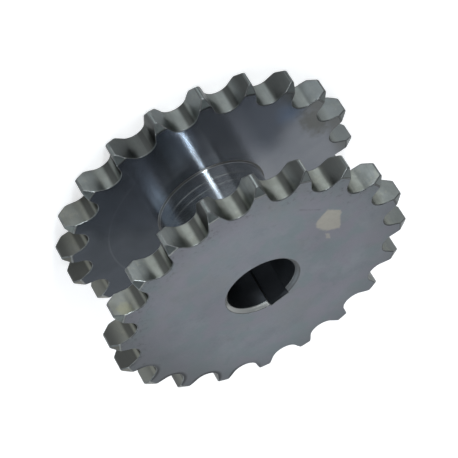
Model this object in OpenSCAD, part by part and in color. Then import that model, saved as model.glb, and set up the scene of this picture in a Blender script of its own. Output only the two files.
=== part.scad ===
/* [Chain] */
// Pitch of the roller chain
chain_pitch = 25.4; // [22:0.1:30]
// Diameter of the chain's rollers
roller_d = 15.88; // [13:0.01:17]
// Number of teeth on each plate
teeth = 20; // [15:1:30]

/* [Teeth] */
// Clearance between a roller and its seat
seat_clearance = 0.08; // [0:0.01:0.3]
// Angle of the seat that a roller rests on
seat_angle = 136; // [122:0.5:144]
// Angle at which the flank breaks away from the end of the seat
flank_break = 4; // [2:0.5:8]
// Radius of the convex flank
flank_r = 42; // [34:0.5:70]
// Height of the tooth tips above the pitch circle
addendum = 6.3; // [4.5:0.1:7.5]
// Width of each toothed plate
tooth_w = 14.6; // [9:0.1:24]
// Tip relief on each side of a tooth, along the axis
relief_w = 3; // [0.5:0.1:4]
// Tip relief on each side of a tooth, towards the axis
relief_h = 4.7; // [1:0.1:8]

/* [Hub] */
// Width over both plates
overall_w = 76.2; // [50:0.1:140]
// Diameter of the hub between the plates
hub_d = 62; // [54:0.5:110]
// Fillet where the hub meets each plate
hub_fillet = 1.2; // [0.3:0.1:5]

/* [Bore] */
// Diameter of the shaft bore
bore_d = 40; // [25:0.5:46]
// Chamfer at both ends of the bore
bore_chamfer = 2; // [0.5:0.1:3]
// Width of the keyway
key_w = 12; // [6:0.1:16]
// Depth of the keyway beyond the bore wall
key_depth = 2.2; // [1.5:0.1:4.5]

/* [Hidden] */
$fn = 96;

// Distance that cuts run past the faces they leave through
cut_past = 1;

// Circles of the toothed rim
half_step = 180 / teeth;
pitch_r = chain_pitch / 2 / sin(half_step);
seat_r = roller_d / 2 + seat_clearance;
tip_r = pitch_r + addendum;

// Arcs of one tooth gap on +X: the roller seat and the flank on its +Y side
seat_centre = [pitch_r, 0];
seat_end = 180 - seat_angle / 2;
flank_start = seat_centre + polar(seat_r, seat_end);
flank_centre = flank_start + polar(flank_r, seat_end + flank_break);

// Sector between the two flanks, from inside the seat to beyond the tips and a little past mid-tooth
sector_angle = 1.05 * half_step;
sector_root = seat_centre + (seat_r + flank_r / 10) * unit(flank_centre - seat_centre);
sector_in = norm(flank_centre) * cos(atan2(flank_centre.y, flank_centre.x) - sector_angle);
sector_out = (tip_r + cut_past) / cos(sector_angle);

bore_r = bore_d / 2;
hub_r = hub_d / 2;

function polar(r, a) = [r * cos(a), r * sin(a)];

function unit(v) = v / norm(v);

function mirrored(p) = [p.x, -p.y];

// Half section of one plate, standing on its outer face
module plate_section() {
    polygon([
        [bore_r + bore_chamfer, 0],
        [tip_r - relief_h, 0],
        [tip_r, relief_w],
        [tip_r, tooth_w - relief_w],
        [tip_r - relief_h, tooth_w],
        [bore_r, tooth_w],
        [bore_r, bore_chamfer]
    ]);
}

// Corner between the hub and a plate's inner face
module fillet_section() {
    difference() {
        square(hub_fillet);
        translate([hub_fillet, hub_fillet])
            circle(hub_fillet);
    }
}

// Half section of one end: a plate and the fillet on its inner face
module end_section() {
    plate_section();
    translate([hub_r, tooth_w])
        fillet_section();
}

// Half section of the hub, which runs through both plates
module hub_section() {
    polygon([
        [bore_r, bore_chamfer],
        [hub_r, bore_chamfer],
        [hub_r, overall_w - bore_chamfer],
        [bore_r, overall_w - bore_chamfer]
    ]);
}

// Half section of the turned blank: the hub and the two ends
module blank_section() {
    hub_section();
    end_section();
    translate([0, overall_w])
        mirror([0, 1])
            end_section();
}

// Outline of the seat of one roller, on +X
module seat_outline() {
    translate(seat_centre)
        circle(seat_r);
}

// Outline of the mouth of one tooth gap, between the flanks of two teeth
module mouth_outline() {
    side = [sector_root, polar(sector_in, sector_angle), polar(sector_out, sector_angle)];
    difference() {
        polygon([seat_centre, each side, for (i = [2:-1:0]) mirrored(side[i])]);
        for (centre = [flank_centre, mirrored(flank_centre)])
            translate(centre)
                circle(flank_r);
    }
}

// Gaps of both plates, the first on +X
module tooth_gaps() {
    for (i = [0:teeth - 1])
        rotate(2 * i * half_step)
            translate([0, 0, -cut_past])
                linear_extrude(overall_w + 2 * cut_past) {
                    seat_outline();
                    mouth_outline();
                }
}

// Keyway along the bore, under the tooth gap on +X
module keyway() {
    translate([0, -key_w / 2, -cut_past])
        cube([bore_r + key_depth, key_w, overall_w + 2 * cut_past]);
}

module double_sprocket() {
    color([0.47, 0.50, 0.54])
        difference() {
            rotate_extrude()
                blank_section();
            tooth_gaps();
            keyway();
        }
}

double_sprocket();
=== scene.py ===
"""Double chain sprocket, dressed and lit as in the photograph.

Sizes are in millimetres and angles in degrees, unless a name ends in _m.
"""

import math

import bmesh
import bpy
from mathutils import Matrix, Vector


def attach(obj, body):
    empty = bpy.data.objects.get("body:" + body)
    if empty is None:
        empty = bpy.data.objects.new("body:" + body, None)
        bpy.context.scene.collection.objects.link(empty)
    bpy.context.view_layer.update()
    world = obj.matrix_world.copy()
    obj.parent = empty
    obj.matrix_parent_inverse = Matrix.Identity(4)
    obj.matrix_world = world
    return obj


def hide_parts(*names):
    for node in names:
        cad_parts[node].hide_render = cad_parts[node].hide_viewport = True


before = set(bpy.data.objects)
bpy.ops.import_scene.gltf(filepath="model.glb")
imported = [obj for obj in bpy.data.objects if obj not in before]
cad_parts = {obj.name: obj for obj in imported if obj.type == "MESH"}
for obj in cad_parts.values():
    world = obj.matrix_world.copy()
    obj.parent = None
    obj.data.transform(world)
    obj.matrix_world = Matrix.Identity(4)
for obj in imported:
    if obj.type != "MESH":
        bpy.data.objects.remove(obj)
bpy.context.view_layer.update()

MM = 0.001

# The part's own sizes, the same as in its source
TEETH = 20
STEP = 360 / TEETH
PITCH_R = 25.4 / 2 / math.sin(math.radians(STEP / 2))
SEAT_R = 15.88 / 2 + 0.08
SEAT_END = 180 - 136 / 2
FLANK_BREAK = 4
FLANK_R = 42
TIP_R = PITCH_R + 6.3
PLATE_W = 14.6
RELIEF_W = 3
RELIEF_R = TIP_R - 4.7
WIDTH = 76.2
HUB_R = 31
HUB_FILLET = 1.2
BORE_R = 20
BORE_CHAMFER = 2
KEY_HALF_W = 6
KEY_X = BORE_R + 2.2

# Fineness of the mesh
SEAT_STEPS = 12
FLANK_STEPS = 4
RELIEF_ROWS = 6
TIP_COLUMNS = 2
FILLET_STEPS = 5
PLATE_RINGS = (50, 68)
FIRST_FACE_RING = 30
WELD = 0.0008

# Broken edges: those sharper than the angle, half as wide at the bore
EDGE_BREAK = 0.5
EDGE_SEGMENTS = 3
EDGE_ANGLE = 24
BORE_EDGE_SHARE = 0.5

# Shallow tool marks round the hub: their heights above the rear face, and the strength of the
# painted highlight on each
HUB_MARKS = (21.9, 26.6)
HUB_MARK_HIGHLIGHT = (0.75, 0.5)
MARK_HALF_W = 0.3
MARK_DEPTH = 0.06

# Surface zones, in the order of the piece's material slots
FACE, INNER, HUB, TOOTH, RELIEF, BORE, EDGE = range(7)


def polar(radius, degrees):
    angle = math.radians(degrees)
    return Vector((radius * math.cos(angle), radius * math.sin(angle)))


def azimuth(point):
    return math.degrees(math.atan2(point.y, point.x))


# Outline of the teeth

FLANK_START = Vector((PITCH_R, 0)) + polar(SEAT_R, SEAT_END)
FLANK_CENTRE = FLANK_START + polar(FLANK_R, SEAT_END + FLANK_BREAK)


def flank_point(radius):
    """Point of the flank at this distance from the axis, for the +Y side of a gap on +X."""
    reach = FLANK_CENTRE.length
    cosine = (radius**2 - reach**2 - FLANK_R**2) / (2 * FLANK_R * reach)
    return FLANK_CENTRE + polar(FLANK_R, azimuth(FLANK_CENTRE) - math.degrees(math.acos(cosine)))


def half_tooth(radius):
    """Angle from the middle of a tooth to its flank at this distance from the axis."""
    return STEP / 2 - azimuth(flank_point(radius))


def gap_points():
    """Seat and lower flanks of a gap on +X, from its -Y side to its +Y side."""
    side = []
    for i in range(SEAT_STEPS + 1):
        angle = 180 + (SEAT_END - 180) * i / SEAT_STEPS
        side.append(Vector((PITCH_R, 0)) + polar(SEAT_R, angle))
    start_r = FLANK_START.length
    for i in range(1, FLANK_STEPS):
        side.append(flank_point(start_r + (RELIEF_R - start_r) * i / FLANK_STEPS))
    return [Vector((p.x, -p.y)) for p in reversed(side[1:])] + side


def turned(point, degrees):
    return polar(point.length, azimuth(point) + degrees)


def tooth_row(tooth, radius):
    """Points across one tooth at this distance from the axis."""
    half = half_tooth(radius)
    start = (tooth + 0.5) * STEP - half
    return [polar(radius, start + 2 * half * i / TIP_COLUMNS) for i in range(TIP_COLUMNS + 1)]


def face_outline():
    """Edge of a plate's flat face: the relief's base line on each tooth, then the gap after it."""
    points = []
    for tooth in range(TEETH):
        points += tooth_row(tooth, RELIEF_R)
        points += [turned(p, (tooth + 1) * STEP) for p in gap_points()]
    return points


OUTLINE = face_outline()
OUTLINE_ANGLES = [(azimuth(p) + 180) % 360 - 180 for p in OUTLINE]


def circle(radius):
    return [polar(radius, angle) for angle in OUTLINE_ANGLES]


def nearest_angle(degrees):
    return min((abs(angle - degrees), angle) for angle in OUTLINE_ANGLES)[1]


# Angles of the outline that are spent on the keyway's mouth and on its bottom corners
KEY_MOUTH = nearest_angle(15)
KEY_CORNER = nearest_angle(13)
ANGLE_SLACK = 1e-6


def bore_ring(radius):
    """Outline of the bore with its keyway on +X, with as many points as the teeth's outline."""
    mouth = math.degrees(math.asin(KEY_HALF_W / radius))
    mouth_x = math.sqrt(radius**2 - KEY_HALF_W**2)
    ring = []
    for angle in OUTLINE_ANGLES:
        size = abs(angle)
        side = math.copysign(1, angle)
        if size <= KEY_CORNER + ANGLE_SLACK:
            point = Vector((KEY_X, KEY_HALF_W * angle / KEY_CORNER))
        elif size <= KEY_MOUTH + ANGLE_SLACK:
            share = (size - KEY_CORNER) / (KEY_MOUTH - KEY_CORNER)
            point = Vector((KEY_X + (mouth_x - KEY_X) * share, side * KEY_HALF_W))
        else:
            share = (size - KEY_MOUTH) / (180 - KEY_MOUTH)
            point = polar(radius, side * (mouth + (180 - mouth) * share))
        ring.append(point)
    return ring


# Mesh of the part


class PartMesh:
    """Collects quads by zone, in millimetres, and joins them into one closed mesh."""

    def __init__(self):
        self.bm = bmesh.new()

    def quad(self, corners, zone):
        verts = [self.bm.verts.new(Vector(c) * MM) for c in corners]
        self.bm.faces.new(verts).material_index = zone

    def strip(self, first, second, zone, closed=True):
        """Quads between two rows of 3-D points."""
        count = len(first)
        for i in range(count if closed else count - 1):
            j = (i + 1) % count
            self.quad((first[i], first[j], second[j], second[i]), zone)

    def loft(self, rings, zone):
        for first, second in zip(rings, rings[1:]):
            self.strip(first, second, zone)

    def finished(self, name):
        bm = self.bm
        bmesh.ops.remove_doubles(bm, verts=bm.verts, dist=WELD * MM)
        bmesh.ops.recalc_face_normals(bm, faces=bm.faces)
        for face in bm.faces:
            face.smooth = True
        weight = bm.edges.layers.float.new("bevel_weight_edge")
        for edge in bm.edges:
            if math.degrees(edge.calc_face_angle()) > EDGE_ANGLE:
                at_bore = edge.verts[0].co.xy.length < HUB_R * MM
                edge[weight] = BORE_EDGE_SHARE if at_bore else 1
        mesh = bpy.data.meshes.new(name)
        bm.to_mesh(mesh)
        bm.free()
        return mesh


def at(points, z):
    return [(p.x, p.y, z) for p in points]


def relief_depth(radius):
    return RELIEF_W * (radius - RELIEF_R) / (TIP_R - RELIEF_R)


def add_tooth_ends(part, outer_z, inward):
    """Tip relief on both sides of each tooth, the upper flanks and the tip lands of one plate."""
    inner_z = outer_z + inward * PLATE_W
    radii = [RELIEF_R + (TIP_R - RELIEF_R) * j / RELIEF_ROWS for j in range(RELIEF_ROWS + 1)]
    for tooth in range(TEETH):
        rows = [tooth_row(tooth, r) for r in radii]
        outer = [at(row, outer_z + inward * relief_depth(r)) for row, r in zip(rows, radii)]
        inner = [at(row, inner_z - inward * relief_depth(r)) for row, r in zip(rows, radii)]
        for j in range(RELIEF_ROWS):
            part.strip(outer[j], outer[j + 1], RELIEF, closed=False)
            part.strip(inner[j], inner[j + 1], RELIEF, closed=False)
        for end in (0, -1):
            part.strip([r[end] for r in outer], [r[end] for r in inner], TOOTH, closed=False)
        part.strip(outer[-1], inner[-1], RELIEF, closed=False)


def add_gap_walls(part, outer_z, inner_z):
    first = gap_points()
    for tooth in range(TEETH):
        start, end = tooth_row(tooth, RELIEF_R)[-1], tooth_row(tooth + 1, RELIEF_R)[0]
        wall = [start] + [turned(p, (tooth + 1) * STEP) for p in first] + [end]
        part.strip(at(wall, outer_z), at(wall, inner_z), TOOTH, closed=False)


def add_plate(part, outer_z, inward):
    inner_z = outer_z + inward * PLATE_W
    to_teeth = [circle(radius) for radius in PLATE_RINGS] + [OUTLINE]
    face = [bore_ring(BORE_R + BORE_CHAMFER), circle(FIRST_FACE_RING)] + to_teeth
    part.loft([at(ring, outer_z) for ring in face], FACE)
    inner_face = [circle(HUB_R + HUB_FILLET)] + to_teeth
    part.loft([at(ring, inner_z) for ring in inner_face], INNER)
    add_tooth_ends(part, outer_z, inward)
    add_gap_walls(part, outer_z, inner_z)


def hub_profile():
    """Radius and height along the hub, from one plate's inner face to the other's."""
    rear = []
    for i in range(FILLET_STEPS + 1):
        angle = math.radians(90 * i / FILLET_STEPS)
        radius = HUB_R + HUB_FILLET * (1 - math.sin(angle))
        rear.append((radius, PLATE_W + HUB_FILLET * (1 - math.cos(angle))))
    marks = []
    for z in HUB_MARKS:
        marks += [(HUB_R, z - MARK_HALF_W), (HUB_R - MARK_DEPTH, z), (HUB_R, z + MARK_HALF_W)]
    return rear + marks + [(radius, WIDTH - z) for radius, z in reversed(rear)]


def sprocket_mesh():
    part = PartMesh()
    add_plate(part, 0, 1)
    add_plate(part, WIDTH, -1)
    part.loft([at(circle(radius), z) for radius, z in hub_profile()], HUB)
    levels = (
        (BORE_R + BORE_CHAMFER, 0),
        (BORE_R, BORE_CHAMFER),
        (BORE_R, WIDTH - BORE_CHAMFER),
        (BORE_R + BORE_CHAMFER, WIDTH),
    )
    part.loft([at(bore_ring(radius), z) for radius, z in levels], BORE)
    return part.finished("sprocket")


def make_sprocket(materials):
    piece = bpy.data.objects.new("sprocket", sprocket_mesh())
    bpy.context.scene.collection.objects.link(piece)
    for material in materials:
        piece.data.materials.append(material)
    bevel = piece.modifiers.new("broken edges", "BEVEL")
    bevel.width = EDGE_BREAK * MM
    bevel.segments = EDGE_SEGMENTS
    bevel.limit_method = "WEIGHT"
    bevel.use_clamp_overlap = False
    bevel.material = EDGE
    normals = piece.modifiers.new("flat faces", "WEIGHTED_NORMAL")
    normals.mode = "FACE_AREA"
    normals.keep_sharp = False
    return piece


# Materials

# Highlights stretch across the turning marks, a quarter turn from the tangent round the axis
ACROSS_MARKS = 0.25

# Heights in the free space between the plates, where masks go over from one plate to the other
BETWEEN_PLATES = (30, 40)


def rgb(red, green, blue):
    return (red, green, blue, 1)


class Shader:
    """One material's node tree, with short calls for the nodes that the materials share.

    Its colour is built up in coats: each mask is 0 where a coat doesn't show and 1 where it covers.
    """

    def __init__(self, name):
        self.material = bpy.data.materials.new(name)
        self.material.use_nodes = True
        self.tree = self.material.node_tree
        self.tree.nodes.clear()
        self.steel = self.node("ShaderNodeBsdfPrincipled")
        output = self.node("ShaderNodeOutputMaterial")
        self.tree.links.new(self.steel.outputs["BSDF"], output.inputs["Surface"])
        self.steel.inputs["Metallic"].default_value = 1
        place = self.node("ShaderNodeTexCoord").outputs["Object"]
        self.place = self.vector("SCALE", place, scale=1 / MM)
        flat = self.vector("MULTIPLY", self.place, (1, 1, 0))
        self.radius = self.vector("LENGTH", flat)
        self.x, self.y, self.z = self.split(self.place)
        self.colour = None

    def node(self, kind, **settings):
        node = self.tree.nodes.new(kind)
        for key, value in settings.items():
            setattr(node, key, value)
        return node

    def feed(self, socket, value):
        if isinstance(value, bpy.types.NodeSocket):
            self.tree.links.new(value, socket)
        else:
            socket.default_value = value

    def math(self, operation, first, second=0.0):
        node = self.node("ShaderNodeMath", operation=operation)
        self.feed(node.inputs[0], first)
        self.feed(node.inputs[1], second)
        return node.outputs[0]

    def plus(self, first, second):
        return self.math("ADD", first, second)

    def minus(self, first, second):
        return self.math("SUBTRACT", first, second)

    def times(self, first, *others):
        for other in others:
            first = self.math("MULTIPLY", first, other)
        return first

    def most(self, first, second):
        return self.math("MAXIMUM", first, second)

    def off(self, value, level):
        """How far a value is from this level, to either side."""
        return self.math("ABSOLUTE", self.minus(value, level))

    def vector(self, operation, first, second=(0, 0, 0), scale=1.0):
        node = self.node("ShaderNodeVectorMath", operation=operation)
        self.feed(node.inputs[0], first)
        if operation == "SCALE":
            self.feed(node.inputs["Scale"], scale)
        else:
            self.feed(node.inputs[1], second)
        return node.outputs["Value" if operation in ("LENGTH", "DOT_PRODUCT") else "Vector"]

    def split(self, vector):
        node = self.node("ShaderNodeSeparateXYZ")
        self.feed(node.inputs[0], vector)
        return node.outputs

    def along(self, direction):
        """Distance from the axis along a direction on the XY plane."""
        return self.vector("DOT_PRODUCT", self.place, (*direction, 0))

    def distance(self, centre, stretch=(1, 1, 1)):
        """Distance from a point, with each axis stretched by a factor."""
        offset = self.vector("SUBTRACT", self.place, centre)
        return self.vector("LENGTH", self.vector("MULTIPLY", offset, stretch))

    def noise(self, scale, detail=4.0, roughness=0.55, place=None):
        """Soft noise of this many cells to the millimetre."""
        node = self.node("ShaderNodeTexNoise")
        self.feed(node.inputs["Vector"], self.place if place is None else place)
        node.inputs["Scale"].default_value = scale
        node.inputs["Detail"].default_value = detail
        node.inputs["Roughness"].default_value = roughness
        return node.outputs["Fac"]

    def cloud(self, scale, detail=5):
        """Large soft blotches, from 0 to 1."""
        return self.fade(self.noise(scale, detail, 0.6), 0.35, 0.68)

    def lines(self, along, scale, detail=4):
        """Fine lines that change only along this value."""
        node = self.node("ShaderNodeTexNoise", noise_dimensions="1D")
        self.feed(node.inputs["W"], along)
        node.inputs["Scale"].default_value = scale
        node.inputs["Detail"].default_value = detail
        return node.outputs["Fac"]

    def fade(self, value, low, high, start=0.0, end=1.0):
        """Goes smoothly from start at low to end at high."""
        node = self.node("ShaderNodeMapRange", interpolation_type="SMOOTHSTEP")
        self.feed(node.inputs["Value"], value)
        node.inputs["From Min"].default_value = low
        node.inputs["From Max"].default_value = high
        node.inputs["To Min"].default_value = start
        node.inputs["To Max"].default_value = end
        return node.outputs["Result"]

    def fade_out(self, value, low, high, strength=1.0):
        """Goes smoothly from a strength at low to 0 at high."""
        return self.fade(value, low, high, strength, 0.0)

    def at_rear(self):
        """1 on the rear plate and 0 on the front one."""
        return self.fade_out(self.z, *BETWEEN_PLATES)

    def ramp(self, value, stops):
        """Goes smoothly from stop to stop, each a value and an amount from 0 to 1."""
        low, high = stops[0][0], stops[-1][0]
        place = self.node("ShaderNodeMapRange")
        self.feed(place.inputs["Value"], value)
        place.inputs["From Min"].default_value = low
        place.inputs["From Max"].default_value = high
        node = self.node("ShaderNodeValToRGB")
        self.feed(node.inputs["Fac"], place.outputs["Result"])
        node.color_ramp.interpolation = "EASE"
        elements = node.color_ramp.elements
        while len(elements) < len(stops):
            elements.new(1)
        for element, (stop, amount) in zip(elements, stops):
            element.position = (stop - low) / (high - low)
            element.color = (amount, amount, amount, 1)
        return node.outputs["Color"]

    def mix(self, mask, first, second):
        node = self.node("ShaderNodeMix", data_type="RGBA")
        self.feed(node.inputs["Factor"], mask)
        self.feed(node.inputs["A"], first)
        self.feed(node.inputs["B"], second)
        return node.outputs["Result"]

    def base(self, mask, first, second):
        self.colour = self.mix(mask, first, second)

    def coat(self, mask, colour):
        self.colour = self.mix(mask, self.colour, colour)

    def bump(self, height, depth):
        node = self.node("ShaderNodeBump")
        self.feed(node.inputs["Height"], height)
        node.inputs["Distance"].default_value = depth * MM
        node.inputs["Strength"].default_value = 1
        return node.outputs["Normal"]

    def brushed(self, amount):
        """Longer highlights, across the turning marks."""
        tangent = self.node("ShaderNodeTangent", direction_type="RADIAL", axis="Z")
        self.feed(self.steel.inputs["Tangent"], tangent.outputs["Tangent"])
        self.steel.inputs["Anisotropic"].default_value = amount
        self.steel.inputs["Anisotropic Rotation"].default_value = ACROSS_MARKS

    def turned_finish(self, marks, smooth, rough):
        """Roughness that follows the turning marks."""
        return self.fade(marks, 0.3, 0.7, smooth, rough)

    def finish(self, roughness, normal=None):
        self.feed(self.steel.inputs["Base Color"], self.colour)
        self.feed(self.steel.inputs["Roughness"], roughness)
        if normal is not None:
            self.feed(self.steel.inputs["Normal"], normal)
        return self.material


def off_gap(s):
    """How far a place lies past the middle of the nearest tooth gap, as a share of the step."""
    steps = s.math("DIVIDE", s.math("ARCTAN2", s.y, s.x), math.radians(STEP))
    return s.minus(steps, s.math("ROUND", steps))


def off_seat(s):
    """Distance outwards from the nearest roller seat, across the axis."""
    angle = s.times(off_gap(s), math.radians(STEP))
    ahead = s.minus(s.times(s.radius, s.math("COSINE", angle)), PITCH_R)
    aside = s.times(s.radius, s.math("SINE", angle))
    squares = s.plus(s.times(ahead, ahead), s.times(aside, aside))
    return s.minus(s.math("SQRT", squares), SEAT_R)


def inside(s, outline):
    """Distance in from the nearest side of a convex outline on the XY plane, below 0 outside."""
    corners = [Vector(p) for p in outline]
    centre = sum(corners, Vector((0, 0))) / len(corners)
    nearest = None
    for start, end in zip(corners, corners[1:] + corners[:1]):
        along = (end - start).normalized()
        inward = Vector((-along.y, along.x))
        if inward.dot(centre - start) < 0:
            inward = -inward
        side = s.minus(s.along(inward), inward.dot(start))
        nearest = side if nearest is None else s.math("MINIMUM", nearest, side)
    return nearest


# Outer faces

# Dried paper residue, its smear and a scratch on the front face, as convex outlines
RESIDUE = ((-24.5, 55.2), (-15.1, 59.6), (-0.1, 51.6), (-6.8, 44.9), (-15.8, 43.0), (-20.2, 45.0))
SMEAR = ((-5.9, 44.2), (-2.2, 46.2), (3.0, 43.7), (-1.7, 42.1))
SCRATCH = ((-40.8, 44.4), (-40.8, 45.3), (-28.3, 52.6), (-28.3, 51.7))
RAGGED_EDGE = 2.6

# Hues of two sets of faint patches, and how far along X their noise is shifted
FACE_TINTS = ((rgb(0.195, 0.236, 0.25), 90), (rgb(0.232, 0.23, 0.265), 240))

# Directions from the axis towards the face's side with painted shade and towards the gaps with
# painted shade along their edges
TO_SHADED_FACE_SIDE = (0.087, -0.996)
TO_SHADED_GAP_EDGES = (0.42, -0.906)


def mottle_face(s):
    """Smudges, a faint brown cast, patches of two hues, and painted shade towards one side."""
    s.coat(s.fade(s.noise(0.11, 4, 0.6), 0.58, 0.76, 0.0, 0.5), rgb(0.165, 0.178, 0.192))
    s.coat(s.fade(s.noise(0.035, 3, 0.6), 0.45, 0.65, 0.0, 0.5), rgb(0.222, 0.23, 0.238))
    for tint, shift in FACE_TINTS:
        patch = s.noise(0.055, 3, 0.6, place=s.vector("ADD", s.place, (shift, 0, 0)))
        s.coat(s.fade(patch, 0.46, 0.62, 0.0, 0.75), tint)
    # Painted shade towards one side of the face.
    s.coat(s.fade(s.along(TO_SHADED_FACE_SIDE), 35, 80, 0.0, 0.7), rgb(0.13, 0.14, 0.15))


def mark_face(s):
    """Paper residue, its smear and a scratch, all with ragged edges and only at the front."""
    ragged = s.times(s.minus(s.noise(0.4), 0.5), RAGGED_EDGE)
    at_front = s.fade(s.z, WIDTH - 2, WIDTH - 1)

    def mark(outline, low, high, strength):
        depth = s.plus(inside(s, outline), ragged)
        return s.times(s.fade(depth, low, high, 0.0, strength), at_front)

    paper = s.most(mark(RESIDUE, -0.4, 1.4, 0.8), mark(SMEAR, -0.2, 1.0, 0.56))
    s.coat(paper, s.mix(s.noise(0.35, 5), rgb(0.36, 0.34, 0.29), rgb(0.47, 0.45, 0.39)))
    s.coat(mark(SCRATCH, -0.6, 0.5, 0.32), rgb(0.08, 0.085, 0.095))


def soil_and_shade_face(s):
    """Painted shade towards the rim and along the edges of some gaps, with specks of grime by the
    gaps on the -X side.
    """
    # Painted shade towards the rim.
    s.coat(s.fade(s.radius, 56, 90, 0.0, 0.5), rgb(0.12, 0.128, 0.135))
    from_seat = off_seat(s)
    specks = s.times(s.fade(s.noise(0.3, 6, 0.75), 0.53, 0.64), s.fade_out(s.x, -20, 20))
    s.coat(s.times(specks, s.fade_out(from_seat, 1, 12, 0.6)), rgb(0.09, 0.096, 0.1))
    # Painted shade along the edges of the gaps on one side.
    gap_edge_shade = s.times(s.fade_out(from_seat, 0.9, 3.0, 0.8), s.fade(s.along(TO_SHADED_GAP_EDGES), 58, 70))
    s.coat(gap_edge_shade, rgb(0.035, 0.037, 0.038))


def face_steel():
    """Outer faces: dull grey-blue turned steel with smudges, a patch of residue at the front, and
    painted shade towards one side, the rim and some gap edges.
    """
    s = Shader("face_steel")
    cloud = s.cloud(0.06)
    speckle = s.fade(s.noise(0.55, 6, 0.7), 0.35, 0.7)
    rings = s.lines(s.radius, 0.9, 5)
    s.base(cloud, rgb(0.19, 0.21, 0.236), rgb(0.235, 0.254, 0.278))
    s.coat(s.times(speckle, 0.25), rgb(0.28, 0.297, 0.314))
    mottle_face(s)
    mark_face(s)
    soil_and_shade_face(s)
    roughness = s.fade(s.plus(cloud, s.times(rings, 0.5)), 0.2, 1.2, 0.38, 0.5)
    height = s.plus(s.times(rings, 0.35), s.times(speckle, 0.8))
    s.brushed(0.35)
    return s.finish(roughness, s.bump(height, 0.012))


# Inner faces

# Directions across the painted dark reflection's edge, across the painted reflection of the streak,
# and out along the streak's far side
ACROSS_DARK_REFLECTION = (0.165, 0.986)
ACROSS_STREAK = (0.208, 0.978)
FAR_SIDE = (0.863, 0.504)

# Place of the painted reflection of the bluish band, measured across the streak
BAND = -20

# A faint turned arc within the painted dark reflection
ARC_R = 61

# A bluish tint and a brown stain near the rear plate's rim
TINT_CENTRE = (-22.6, 66.3, PLATE_W)
STAIN_CENTRE = (-1.5, 71.5, PLATE_W)
STAIN_STRETCH = (0.7, 1.3, 1)


def cover_inner(s, cloud, far, at_rear):
    """A ragged painted shade and a painted dark reflection on the rear plate. Gives the painted
    dark reflection's mask.
    """
    edge = s.plus(far, s.times(s.noise(0.09, 3), 10.0))
    # Painted shade: a ragged darker zone on the rear plate.
    shade = s.times(s.fade_out(edge, 15, 31, 0.85), s.fade(far, -35, -20))
    s.coat(s.times(shade, s.fade(s.radius, 36, 50), at_rear), rgb(0.16, 0.175, 0.2))
    # Painted dark reflection on one side of the rear plate.
    darkening = s.times(s.fade_out(s.along(ACROSS_DARK_REFLECTION), -29, -17), at_rear)
    s.coat(darkening, s.mix(cloud, rgb(0.081, 0.093, 0.107), rgb(0.099, 0.112, 0.13)))
    return darkening


def paint_inner_reflections(s, far, at_rear):
    """Painted reflections of the hub's highlights on the rear plate, with a lighter band beside
    them. Gives the painted reflection's mask.
    """
    across = s.along(ACROSS_STREAK)
    on_streak = s.fade_out(s.off(across, 0), 6, 12)
    on_band = s.fade_out(s.off(across, BAND), 3, 14, 0.38)
    # Painted reflection of the hub's highlight and of its bluish band.
    painted_reflection = s.times(s.most(on_streak, on_band), s.fade_out(far, -42, -30))
    s.coat(s.times(painted_reflection, at_rear), rgb(0.52, 0.565, 0.635))
    # A lighter painted reflection beside the streak.
    beside = s.times(s.fade(across, 8, 16, 0.0, 0.5), s.fade_out(across, 28, 42))
    s.coat(s.times(beside, at_rear), rgb(0.42, 0.43, 0.45))
    return painted_reflection


def stain_inner(s, at_rear):
    """The tint, the stain and grime near the rear plate's rim."""
    tint = s.plus(s.distance(TINT_CENTRE), s.times(s.noise(0.2, 3), 8.0))
    s.coat(s.fade_out(tint, 5, 17, 0.6), rgb(0.2, 0.27, 0.38))
    stain = s.plus(s.distance(STAIN_CENTRE, STAIN_STRETCH), s.times(s.noise(0.3), 14.0))
    grime = s.times(s.fade(s.radius, 69, 79, 0.0, 0.6), s.fade(s.y, 62, 74), at_rear)
    s.coat(s.most(s.fade_out(stain, 11, 22, 0.68), grime), rgb(0.125, 0.125, 0.1))


def inner_steel():
    """Inner faces of the plates: finely turned, nearly a mirror, and at the rear with painted
    shade, painted dark and light reflections, and stains.
    """
    s = Shader("inner_steel")
    cloud = s.cloud(0.05)
    far = s.along(FAR_SIDE)
    at_rear = s.at_rear()
    s.base(cloud, rgb(0.265, 0.282, 0.31), rgb(0.30, 0.315, 0.34))
    darkening = cover_inner(s, cloud, far, at_rear)
    painted_reflection = paint_inner_reflections(s, far, at_rear)
    arc = s.fade_out(s.off(s.radius, ARC_R), 0.2, 0.7, 0.22)
    s.coat(s.times(arc, darkening), rgb(0.22, 0.235, 0.25))
    stain_inner(s, at_rear)
    roughness = s.turned_finish(s.lines(s.radius, 1.1), 0.18, 0.22)
    s.brushed(0.72)
    return s.finish(s.minus(roughness, s.times(painted_reflection, 0.06)))


# Hub

# Direction across the painted dark reflections on the hub
ACROSS_HUB = (0.51, 0.86)


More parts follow.
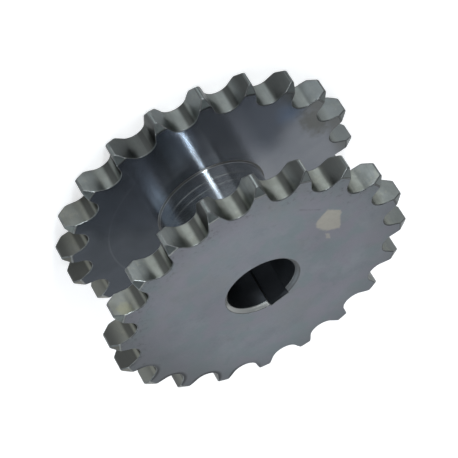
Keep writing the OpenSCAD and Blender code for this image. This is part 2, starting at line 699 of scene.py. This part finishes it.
def hub_steel():
    """Hub between the plates: dark, smooth turned steel with a long highlight along the axis,
    painted dark reflections, painted highlights on its tool marks and painted shade in the fillet.
    """
    s = Shader("hub_steel")
    s.base(s.cloud(0.08, 4), rgb(0.19, 0.206, 0.222), rgb(0.235, 0.25, 0.265))
    across = s.along(ACROSS_HUB)
    # Painted dark reflections in two bands along the hub.
    darkening = s.times(s.fade_out(across, -15, -5, 0.95), s.fade(across, -27.5, -24))
    beside = s.times(s.fade(across, -4, -3, 0.0, 0.42), s.fade_out(across, 6, 10))
    s.coat(s.most(darkening, beside), rgb(0.08, 0.09, 0.096))
    # Painted highlight on each tool mark.
    for z, mark_highlight in zip(HUB_MARKS, HUB_MARK_HIGHLIGHT):
        s.coat(s.fade_out(s.off(s.z, z), 0.2, 0.6, mark_highlight), rgb(0.30, 0.31, 0.30))
    # Painted shade in the fillet, fading out towards the plate.
    corner = s.fade(s.radius, HUB_R + 0.05, HUB_R + 0.3)
    by_plate = s.fade(s.radius, HUB_R + 0.3, HUB_R + HUB_FILLET)
    s.coat(corner, s.mix(by_plate, rgb(0.1, 0.102, 0.1), rgb(0.25, 0.252, 0.25)))
    roughness = s.turned_finish(s.lines(s.z, 1.4), 0.19, 0.215)
    s.brushed(0.97)
    return s.finish(s.plus(roughness, s.times(corner, 0.3)))


# Teeth

# How much painted dark reflection a tooth wall carries, by the azimuth that it faces
DARK_REFLECTION_BY_FACING = (
    (40, 0),
    (70, 0.2),
    (112, 0.25),
    (132, 0.15),
    (145, 0),
    (166, 0),
    (181, 0.88),
    (199, 0.93),
    (212, 0.12),
    (223, 0.12),
    (235, 0.85),
    (245, 0.85),
    (275, 0),
    (320, 0),
)

# A yellowish spot on one wall of the front plate
SPOT_CENTRE = (-60.3, -55, 72.5)

# Part of the teeth on the -Y side that is warmer in hue, along Y
WARM_SIDE = (-70, -30)

# Milling marks run along the axis
MILLED = (1, 1, 0.06)

# Grey at grazing angles, as under a dry film
WALL_SPECULAR_TINT = rgb(0.68, 0.68, 0.68)

# Directions from the axis towards the tooth tips with painted light and towards the darker tooth
# tips
TO_PAINTED_LIGHT_TIPS = (-0.454, 0.891)
TO_DARKER_TIPS = (-0.707, -0.707)


def painted_dark_reflection(s):
    """Painted dark reflection on the walls, by the azimuth that they face, counted from 0 to 360.
    """
    normal = s.node("ShaderNodeTexCoord").outputs["Normal"]
    back_x, back_y, _ = s.split(s.vector("SCALE", normal, scale=-1))
    facing = s.math("DEGREES", s.math("ARCTAN2", back_y, back_x))
    return s.ramp(s.plus(facing, 180), DARK_REFLECTION_BY_FACING)


def dark_gap(s):
    """One gap of the rear plate, on -X, is darker all over."""
    there = s.times(s.fade_out(s.x, -64, -60), s.at_rear())
    return s.times(there, s.fade_out(s.off(s.y, 0), 13, 16, 0.75))


def tooth_steel():
    """Walls of the tooth gaps: milled, with painted shade on the flanks beside the paler roller
    seats, painted dark reflection on some walls and one darker gap.
    """
    s = Shader("tooth_steel")
    seat = s.fade_out(s.off(off_gap(s), 0), 0.26, 0.33)
    cloud = s.cloud(0.16)
    streaks = s.noise(0.5, place=s.vector("MULTIPLY", s.place, MILLED))
    # Lit and shaded copies: painted shade on the flanks, paler roller seats.
    pale = s.mix(cloud, rgb(0.158, 0.169, 0.152), rgb(0.20, 0.213, 0.195))
    dark = s.mix(cloud, rgb(0.14, 0.153, 0.148), rgb(0.172, 0.187, 0.184))
    s.base(seat, dark, pale)
    s.coat(s.fade(streaks, 0.5, 0.75, 0.0, 0.3), rgb(0.09, 0.094, 0.094))
    s.coat(s.fade(s.noise(0.22, 5, 0.65), 0.53, 0.66, 0.0, 0.4), rgb(0.235, 0.24, 0.205))
    s.coat(s.fade_out(s.y, *WARM_SIDE, 0.45), rgb(0.14, 0.135, 0.108))
    s.coat(s.times(s.at_rear(), s.fade(s.y, -45, -10, 0.0, 0.4)), rgb(0.2, 0.225, 0.235))
    spot = s.plus(s.distance(SPOT_CENTRE), s.times(s.noise(0.5), 6.0))
    s.coat(s.fade_out(spot, 4.5, 8.5, 0.3), rgb(0.27, 0.26, 0.13))
    # Painted dark reflection by facing, and one darker gap.
    darkening = s.most(painted_dark_reflection(s), dark_gap(s))
    s.coat(s.times(darkening, 0.9), rgb(0.033, 0.034, 0.033))
    s.steel.inputs["Specular Tint"].default_value = WALL_SPECULAR_TINT
    return s.finish(s.fade(cloud, 0.0, 1.0, 0.32, 0.4), s.bump(streaks, 0.02))


def relief_steel():
    """Tip relief and tip lands: turned, with painted light on one side of the front plate and
    darker on another side.
    """
    s = Shader("relief_steel")
    rings = s.lines(s.radius, 1.5)
    s.base(s.cloud(0.12), rgb(0.13, 0.147, 0.145), rgb(0.18, 0.2, 0.196))
    at_front = s.fade(s.z, WIDTH / 2 - 1, WIDTH / 2 + 1)
    # Painted light on the tips on one side of the front plate.
    bright = s.fade(s.along(TO_PAINTED_LIGHT_TIPS), 62, 80, 0.0, 0.6)
    s.coat(s.times(bright, at_front), rgb(0.27, 0.292, 0.285))
    s.coat(s.fade_out(s.y, *WARM_SIDE, 0.6), rgb(0.165, 0.152, 0.112))
    s.coat(s.fade(s.along(TO_DARKER_TIPS), 74, 84, 0.0, 0.5), rgb(0.05, 0.055, 0.054))
    s.brushed(0.4)
    return s.finish(s.turned_finish(rings, 0.3, 0.4), s.bump(rings, 0.012))


# Bore and edges

# Direction from the axis towards the rubbed part of the bore's rim, on the side where the bore
# carries painted shade
TO_RUBBED_RIM_AND_SHADE = (0.57, -0.82)


def bore_steel():
    """Bore, rim chamfers and keyway: fine boring marks under oil, with painted shade on one side
    and in the keyway.
    """
    s = Shader("bore_steel")
    marks = s.lines(s.z, 1.2)
    rim_start = WIDTH / 2 - BORE_CHAMFER
    rim = s.fade(s.off(s.z, WIDTH / 2), rim_start - 0.6, rim_start)
    rubbed_rim_and_shade = s.fade(s.along(TO_RUBBED_RIM_AND_SHADE), 5, 14)
    s.base(s.cloud(0.1, 4), rgb(0.15, 0.166, 0.188), rgb(0.19, 0.207, 0.23))
    # Painted shade on one side of the bore.
    s.coat(s.times(rubbed_rim_and_shade, 0.6), rgb(0.06, 0.065, 0.07))
    s.coat(rim, s.mix(rubbed_rim_and_shade, rgb(0.15, 0.157, 0.16), rgb(0.40, 0.41, 0.395)))
    between_sides = s.fade_out(s.off(s.y, 0), KEY_HALF_W, KEY_HALF_W + 0.2)
    # Painted shade in the keyway.
    s.coat(s.times(s.fade(s.x, 14.5, 15.5), between_sides), rgb(0.105, 0.115, 0.13))
    dull = s.times(rim, s.minus(1.0, rubbed_rim_and_shade))
    s.brushed(0.5)
    roughness = s.plus(s.turned_finish(marks, 0.28, 0.4), s.times(dull, 0.25))
    return s.finish(roughness, s.bump(marks, 0.008))


def edge_steel():
    """Broken edges, worn bright in places, with a painted highlight along the relief's base line,
    and darker on the +Y side.
    """
    s = Shader("edge_steel")
    wear = s.fade(s.noise(0.25, 5, 0.65), 0.38, 0.66)
    s.base(wear, rgb(0.10, 0.107, 0.107), rgb(0.17, 0.18, 0.178))
    # Painted highlight along the relief's base line.
    s.coat(s.fade_out(s.off(s.radius, RELIEF_R), 0.3, 0.6, 0.6), rgb(0.34, 0.355, 0.345))
    s.coat(s.fade(s.y, 20, 55, 0.0, 0.68), rgb(0.06, 0.064, 0.064))
    return s.finish(s.fade(wear, 0.0, 1.0, 0.42, 0.34), s.bump(s.noise(0.9), 0.02))


# Stage, light and camera

FLOOR_SIZE_M = 12
FLOOR_DROP = 0.05
FLOOR_COLOUR = rgb(0.82, 0.82, 0.82)
FLOOR_ROUGHNESS = 0.9
FLOOR_SPECULAR = 0.1
FLOOR_GLOW = 0.5

HORIZON_COLOUR = rgb(0.87, 0.88, 0.90)
ZENITH_COLOUR = rgb(0.26, 0.28, 0.30)

# Lamps that face the middle of the part:
# name, width and height, azimuth, elevation, distance, power in watts, colour
WHITE = (1, 1, 1)
LAMPS = (
    ("streak", (95, 300), 151, 9, 900, 6.2, (0.9, 0.96, 1.0)),
    ("side", (420, 320), 125, 34, 1000, 0.8, WHITE),
    ("fill", (1600, 600), 209, 34, 1300, 1.6, WHITE),
    ("window", (700, 320), 272, 32, 1000, 1.6, (0.75, 0.88, 1.0)),
    ("rim", (300, 200), 168, 59, 1000, 0.4, WHITE),
    ("back", (800, 160), 351, 54, 1200, 1.6, WHITE),
)
MIDDLE = Vector((0, 0, WIDTH / 2))

# Camera of the photograph
CAMERA_AZIMUTH = 168.27
CAMERA_ELEVATION = 30.70
CAMERA_ROLL = 148.97
CAMERA_DISTANCE = 1138.6
CAMERA_AIM = (-1.11, 0.51, 36.08)
CAMERA_LENS = 166.99
CAMERA_SENSOR = 36


def towards(azimuth_deg, elevation_deg):
    """Unit vector at this azimuth and elevation."""
    level = polar(math.cos(math.radians(elevation_deg)), azimuth_deg)
    return Vector((level.x, level.y, math.sin(math.radians(elevation_deg))))


def seen_directly(tree):
    """1 for camera, glossy and transmitted rays, so that the metal shows the same white ground."""
    path = tree.nodes.new("ShaderNodeLightPath")
    total = path.outputs["Is Camera Ray"]
    for ray in ("Is Glossy Ray", "Is Transmission Ray"):
        both = tree.nodes.new("ShaderNodeMath")
        both.operation = "MAXIMUM"
        tree.links.new(total, both.inputs[0])
        tree.links.new(path.outputs[ray], both.inputs[1])
        total = both.outputs[0]
    return total


def floor_material():
    material = bpy.data.materials.new("pale_floor")
    material.use_nodes = True
    tree = material.node_tree
    surface = tree.nodes["Principled BSDF"]
    surface.inputs["Base Color"].default_value = FLOOR_COLOUR
    surface.inputs["Roughness"].default_value = FLOOR_ROUGHNESS
    surface.inputs["Specular IOR Level"].default_value = FLOOR_SPECULAR
    surface.inputs["Emission Color"].default_value = rgb(*WHITE)
    glow = tree.nodes.new("ShaderNodeMath")
    glow.operation = "MULTIPLY"
    glow.inputs[1].default_value = FLOOR_GLOW
    tree.links.new(seen_directly(tree), glow.inputs[0])
    tree.links.new(glow.outputs[0], surface.inputs["Emission Strength"])
    return material


def make_floor():
    bm = bmesh.new()
    bmesh.ops.create_grid(bm, x_segments=1, y_segments=1, size=FLOOR_SIZE_M / 2)
    bmesh.ops.translate(bm, verts=bm.verts, vec=(0, 0, -FLOOR_DROP * MM))
    mesh = bpy.data.meshes.new("floor")
    bm.to_mesh(mesh)
    bm.free()
    mesh.materials.append(floor_material())
    floor = bpy.data.objects.new("floor", mesh)
    bpy.context.scene.collection.objects.link(floor)


def make_world():
    """A soft studio sky, pale all round and darker overhead."""
    world = bpy.data.worlds.new("studio")
    world.use_nodes = True
    tree = world.node_tree
    place = tree.nodes.new("ShaderNodeTexCoord")
    split = tree.nodes.new("ShaderNodeSeparateXYZ")
    tree.links.new(place.outputs["Generated"], split.inputs[0])
    sky = tree.nodes.new("ShaderNodeMix")
    sky.data_type = "RGBA"
    tree.links.new(split.outputs["Z"], sky.inputs["Factor"])
    sky.inputs["A"].default_value = HORIZON_COLOUR
    sky.inputs["B"].default_value = ZENITH_COLOUR
    tree.links.new(sky.outputs["Result"], tree.nodes["Background"].inputs["Color"])
    bpy.context.scene.world = world


def make_lamp(name, size, azimuth_deg, elevation_deg, distance, power, colour):
    """A rectangular soft lamp that faces the middle of the part."""
    data = bpy.data.lights.new(name, "AREA")
    data.shape = "RECTANGLE"
    data.size, data.size_y = size[0] * MM, size[1] * MM
    data.energy = power
    data.color = colour
    lamp = bpy.data.objects.new(name, data)
    bpy.context.scene.collection.objects.link(lamp)
    place = MIDDLE + towards(azimuth_deg, elevation_deg) * distance
    lamp.location = place * MM
    lamp.rotation_euler = (MIDDLE - place).to_track_quat("-Z", "Y").to_euler()


def make_camera():
    data = bpy.data.cameras.new("photo")
    data.lens = CAMERA_LENS
    data.sensor_width = CAMERA_SENSOR
    camera = bpy.data.objects.new("photo", data)
    bpy.context.scene.collection.objects.link(camera)
    back = towards(CAMERA_AZIMUTH, CAMERA_ELEVATION)
    right = Vector((0, 0, 1)).cross(back).normalized()
    up = back.cross(right)
    level = Matrix((right, up, back)).transposed().to_4x4()
    roll = Matrix.Rotation(math.radians(CAMERA_ROLL), 4, "Z")
    place = Vector(CAMERA_AIM) + back * CAMERA_DISTANCE
    camera.matrix_world = Matrix.Translation(place * MM) @ level @ roll
    bpy.context.scene.camera = camera


sprocket = make_sprocket(
    [
        face_steel(),
        inner_steel(),
        hub_steel(),
        tooth_steel(),
        relief_steel(),
        bore_steel(),
        edge_steel(),
    ]
)
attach(sprocket, "root")
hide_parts("double_sprocket")

make_floor()
make_world()
for lamp in LAMPS:
    make_lamp(*lamp)
make_camera()
bpy.context.scene.view_settings.view_transform = "Standard"
